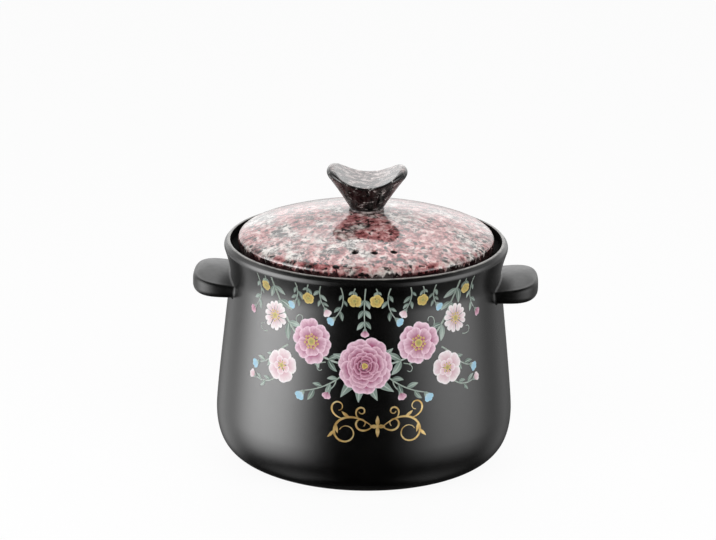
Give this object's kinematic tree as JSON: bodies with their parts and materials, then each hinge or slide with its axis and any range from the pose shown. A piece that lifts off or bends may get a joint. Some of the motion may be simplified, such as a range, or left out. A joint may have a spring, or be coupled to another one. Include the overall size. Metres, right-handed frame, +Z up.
{
  "type": "ceramic cooking pot",
  "caption": "Round black ceramic stew pot with lug handles and a speckled domed lid that lifts off by a saddle-shaped knob, for simmering food on a stove.",
  "frame": {"origin": "centre of the foot, on the surface the pot stands on", "axes": "+Z up along the pot's axis, +X towards the right handle, -Y towards the front with the steam vents"},
  "size_m": [0.243, 0.21, 0.2099],
  "materials": {
    "black_glaze": "satin",
    "speckled_glaze": "gloss"
  },
  "bodies": {
    "pot": {"pot_body": "black_glaze", "left_handle": "black_glaze", "right_handle": "black_glaze"},
    "lid": {"lid": "speckled_glaze", "lid_knob": "speckled_glaze"}
  },
  "joints": [
    {"name": "lid_lift", "type": "slide", "parent": "pot", "child": "lid", "axis": [0, 0, 1], "range_m": [0, 0.1]}
  ]
}
